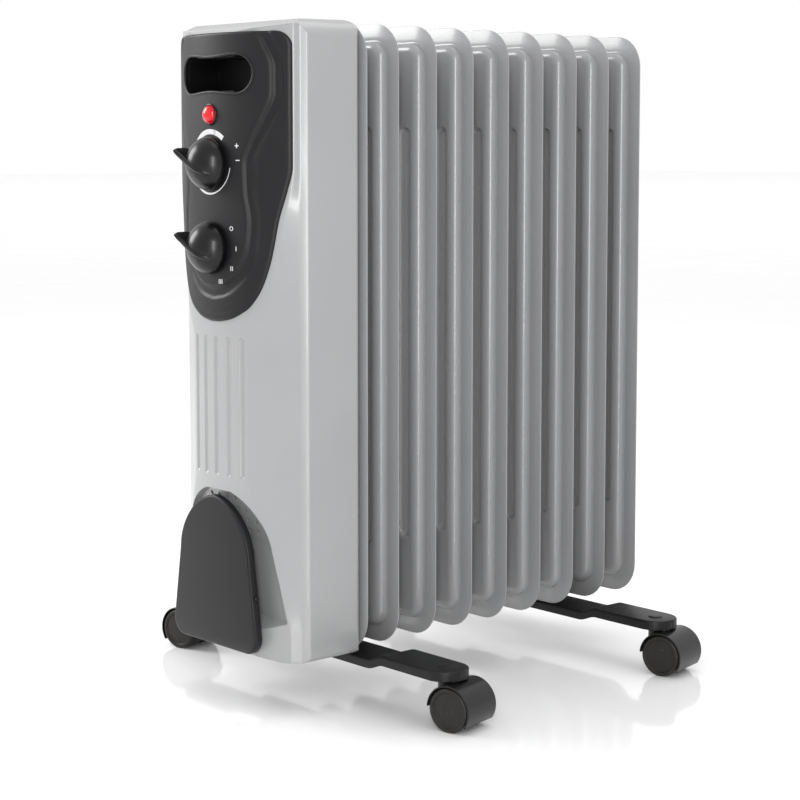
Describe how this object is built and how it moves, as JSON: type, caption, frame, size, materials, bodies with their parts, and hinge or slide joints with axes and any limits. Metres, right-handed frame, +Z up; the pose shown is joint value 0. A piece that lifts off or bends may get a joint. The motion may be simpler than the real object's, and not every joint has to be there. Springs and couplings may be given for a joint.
{
  "type": "oil filled radiator heater",
  "caption": "Free-standing oil filled radiator with pressed steel elements, front control housing, cord winder plate and cross feet on hooded swivel casters.",
  "frame": {"origin": "on the floor, under the centre of the bounding box", "axes": "+Z up, -Y towards the control panel side, +X to the right when facing the panel"},
  "size_m": [0.455, 0.509, 0.63],
  "materials": {
    "enamel_steel": "glossy light grey enamel",
    "enamel_housing": "semi-gloss light grey enamel",
    "oil": "stands in for amber heat transfer oil",
    "brass": "satin",
    "steel": "zinc plated",
    "silicone": "matt red silicone",
    "rubber": "matt black rubber",
    "panel_plastic": "satin dark grey moulding",
    "black_plastic": "matt black moulding",
    "knob_plastic": "satin black moulding",
    "cream_plastic": "cream heat-proof moulding",
    "lens_red": "glossy translucent red",
    "lamp": "neon lamp",
    "foot_plastic": "satin dark grey moulding",
    "hood_plastic": "satin black moulding",
    "wheel_plastic": "dark brown-grey moulding"
  },
  "bodies": {
    "heater": {"element_1": "enamel_steel", "element_2": "enamel_steel", "element_3": "enamel_steel", "element_4": "enamel_steel", "element_5": "enamel_steel", "element_6": "enamel_steel", "element_7": "enamel_steel", "element_8": "enamel_steel", "element_9": "enamel_steel", "lower_collector": "enamel_steel", "upper_collector": "enamel_steel", "oil_fill": "oil", "filler_plug": "brass", "heating_element": "steel", "heater_gasket": "silicone", "mounting_frame": "steel", "control_housing": "enamel_housing", "housing_screws": "steel", "control_panel": "panel_plastic", "grip_pocket": "black_plastic", "pilot_lens": "lens_red", "pilot_lamp": "lamp", "thermostat": "cream_plastic", "selector_switch": "cream_plastic", "switch_bracket": "steel", "bracket_screws": "steel", "thermal_cutout": "black_plastic", "terminal_block": "cream_plastic", "wiring_loom": "silicone", "inlet_gland": "rubber", "winder_post": "black_plastic", "winder_plate": "panel_plastic", "winder_screws": "steel", "front_foot": "foot_plastic", "rear_foot": "foot_plastic", "foot_u_bolts": "steel", "foot_wing_nuts": "steel"},
    "thermostat_dial": {"thermostat_knob": "knob_plastic", "thermostat_shaft": "steel"},
    "selector_dial": {"selector_knob": "knob_plastic", "selector_shaft": "steel"},
    "caster_front_left": {"caster_hood_front_left": "hood_plastic", "caster_axle_front_left": "steel"},
    "front_wheel_front_left": {"caster_front_wheel_front_left": "wheel_plastic"},
    "rear_wheel_front_left": {"caster_rear_wheel_front_left": "wheel_plastic"},
    "caster_front_right": {"caster_hood_front_right": "hood_plastic", "caster_axle_front_right": "steel"},
    "front_wheel_front_right": {"caster_front_wheel_front_right": "wheel_plastic"},
    "rear_wheel_front_right": {"caster_rear_wheel_front_right": "wheel_plastic"},
    "caster_rear_left": {"caster_hood_rear_left": "hood_plastic", "caster_axle_rear_left": "steel"},
    "front_wheel_rear_left": {"caster_front_wheel_rear_left": "wheel_plastic"},
    "rear_wheel_rear_left": {"caster_rear_wheel_rear_left": "wheel_plastic"},
    "caster_rear_right": {"caster_hood_rear_right": "hood_plastic", "caster_axle_rear_right": "steel"},
    "front_wheel_rear_right": {"caster_front_wheel_rear_right": "wheel_plastic"},
    "rear_wheel_rear_right": {"caster_rear_wheel_rear_right": "wheel_plastic"}
  },
  "joints": [
    {"name": "thermostat_turn", "type": "hinge", "parent": "heater", "child": "thermostat_dial", "pos_m": [0, -0.2285, 0.501], "axis": [0, -1, 0], "range_deg": [-270, 25]},
    {"name": "selector_turn", "type": "hinge", "parent": "heater", "child": "selector_dial", "pos_m": [0, -0.2285, 0.425], "axis": [0, -1, 0], "range_deg": [-33, 66]},
    {"name": "swivel_front_left", "type": "hinge", "parent": "heater", "child": "caster_front_left", "pos_m": [-0.184, -0.1075, 0.045], "axis": [0, 0, 1], "continuous": true},
    {"name": "roll_front_front_left", "type": "hinge", "parent": "caster_front_left", "child": "front_wheel_front_left", "pos_m": [-0.20056, -0.11132, 0.02], "axis": [-0.225, 0.9744, 0], "continuous": true},
    {"name": "roll_rear_front_left", "type": "hinge", "parent": "caster_front_left", "child": "rear_wheel_front_left", "pos_m": [-0.20056, -0.11132, 0.02], "axis": [-0.225, 0.9744, 0], "continuous": true},
    {"name": "swivel_front_right", "type": "hinge", "parent": "heater", "child": "caster_front_right", "pos_m": [0.184, -0.1075, 0.045], "axis": [0, 0, 1], "continuous": true},
    {"name": "roll_front_front_right", "type": "hinge", "parent": "caster_front_right", "child": "front_wheel_front_right", "pos_m": [0.20056, -0.10368, 0.02], "axis": [-0.225, 0.9744, 0], "continuous": true},
    {"name": "roll_rear_front_right", "type": "hinge", "parent": "caster_front_right", "child": "rear_wheel_front_right", "pos_m": [0.20056, -0.10368, 0.02], "axis": [-0.225, 0.9744, 0], "continuous": true},
    {"name": "swivel_rear_left", "type": "hinge", "parent": "heater", "child": "caster_rear_left", "pos_m": [-0.184, 0.175, 0.045], "axis": [0, 0, 1], "continuous": true},
    {"name": "roll_front_rear_left", "type": "hinge", "parent": "caster_rear_left", "child": "front_wheel_rear_left", "pos_m": [-0.20056, 0.17118, 0.02], "axis": [-0.225, 0.9744, 0], "continuous": true},
    {"name": "roll_rear_rear_left", "type": "hinge", "parent": "caster_rear_left", "child": "rear_wheel_rear_left", "pos_m": [-0.20056, 0.17118, 0.02], "axis": [-0.225, 0.9744, 0], "continuous": true},
    {"name": "swivel_rear_right", "type": "hinge", "parent": "heater", "child": "caster_rear_right", "pos_m": [0.184, 0.175, 0.045], "axis": [0, 0, 1], "continuous": true},
    {"name": "roll_front_rear_right", "type": "hinge", "parent": "caster_rear_right", "child": "front_wheel_rear_right", "pos_m": [0.20056, 0.17882, 0.02], "axis": [-0.225, 0.9744, 0], "continuous": true},
    {"name": "roll_rear_rear_right", "type": "hinge", "parent": "caster_rear_right", "child": "rear_wheel_rear_right", "pos_m": [0.20056, 0.17882, 0.02], "axis": [-0.225, 0.9744, 0], "continuous": true}
  ]
}
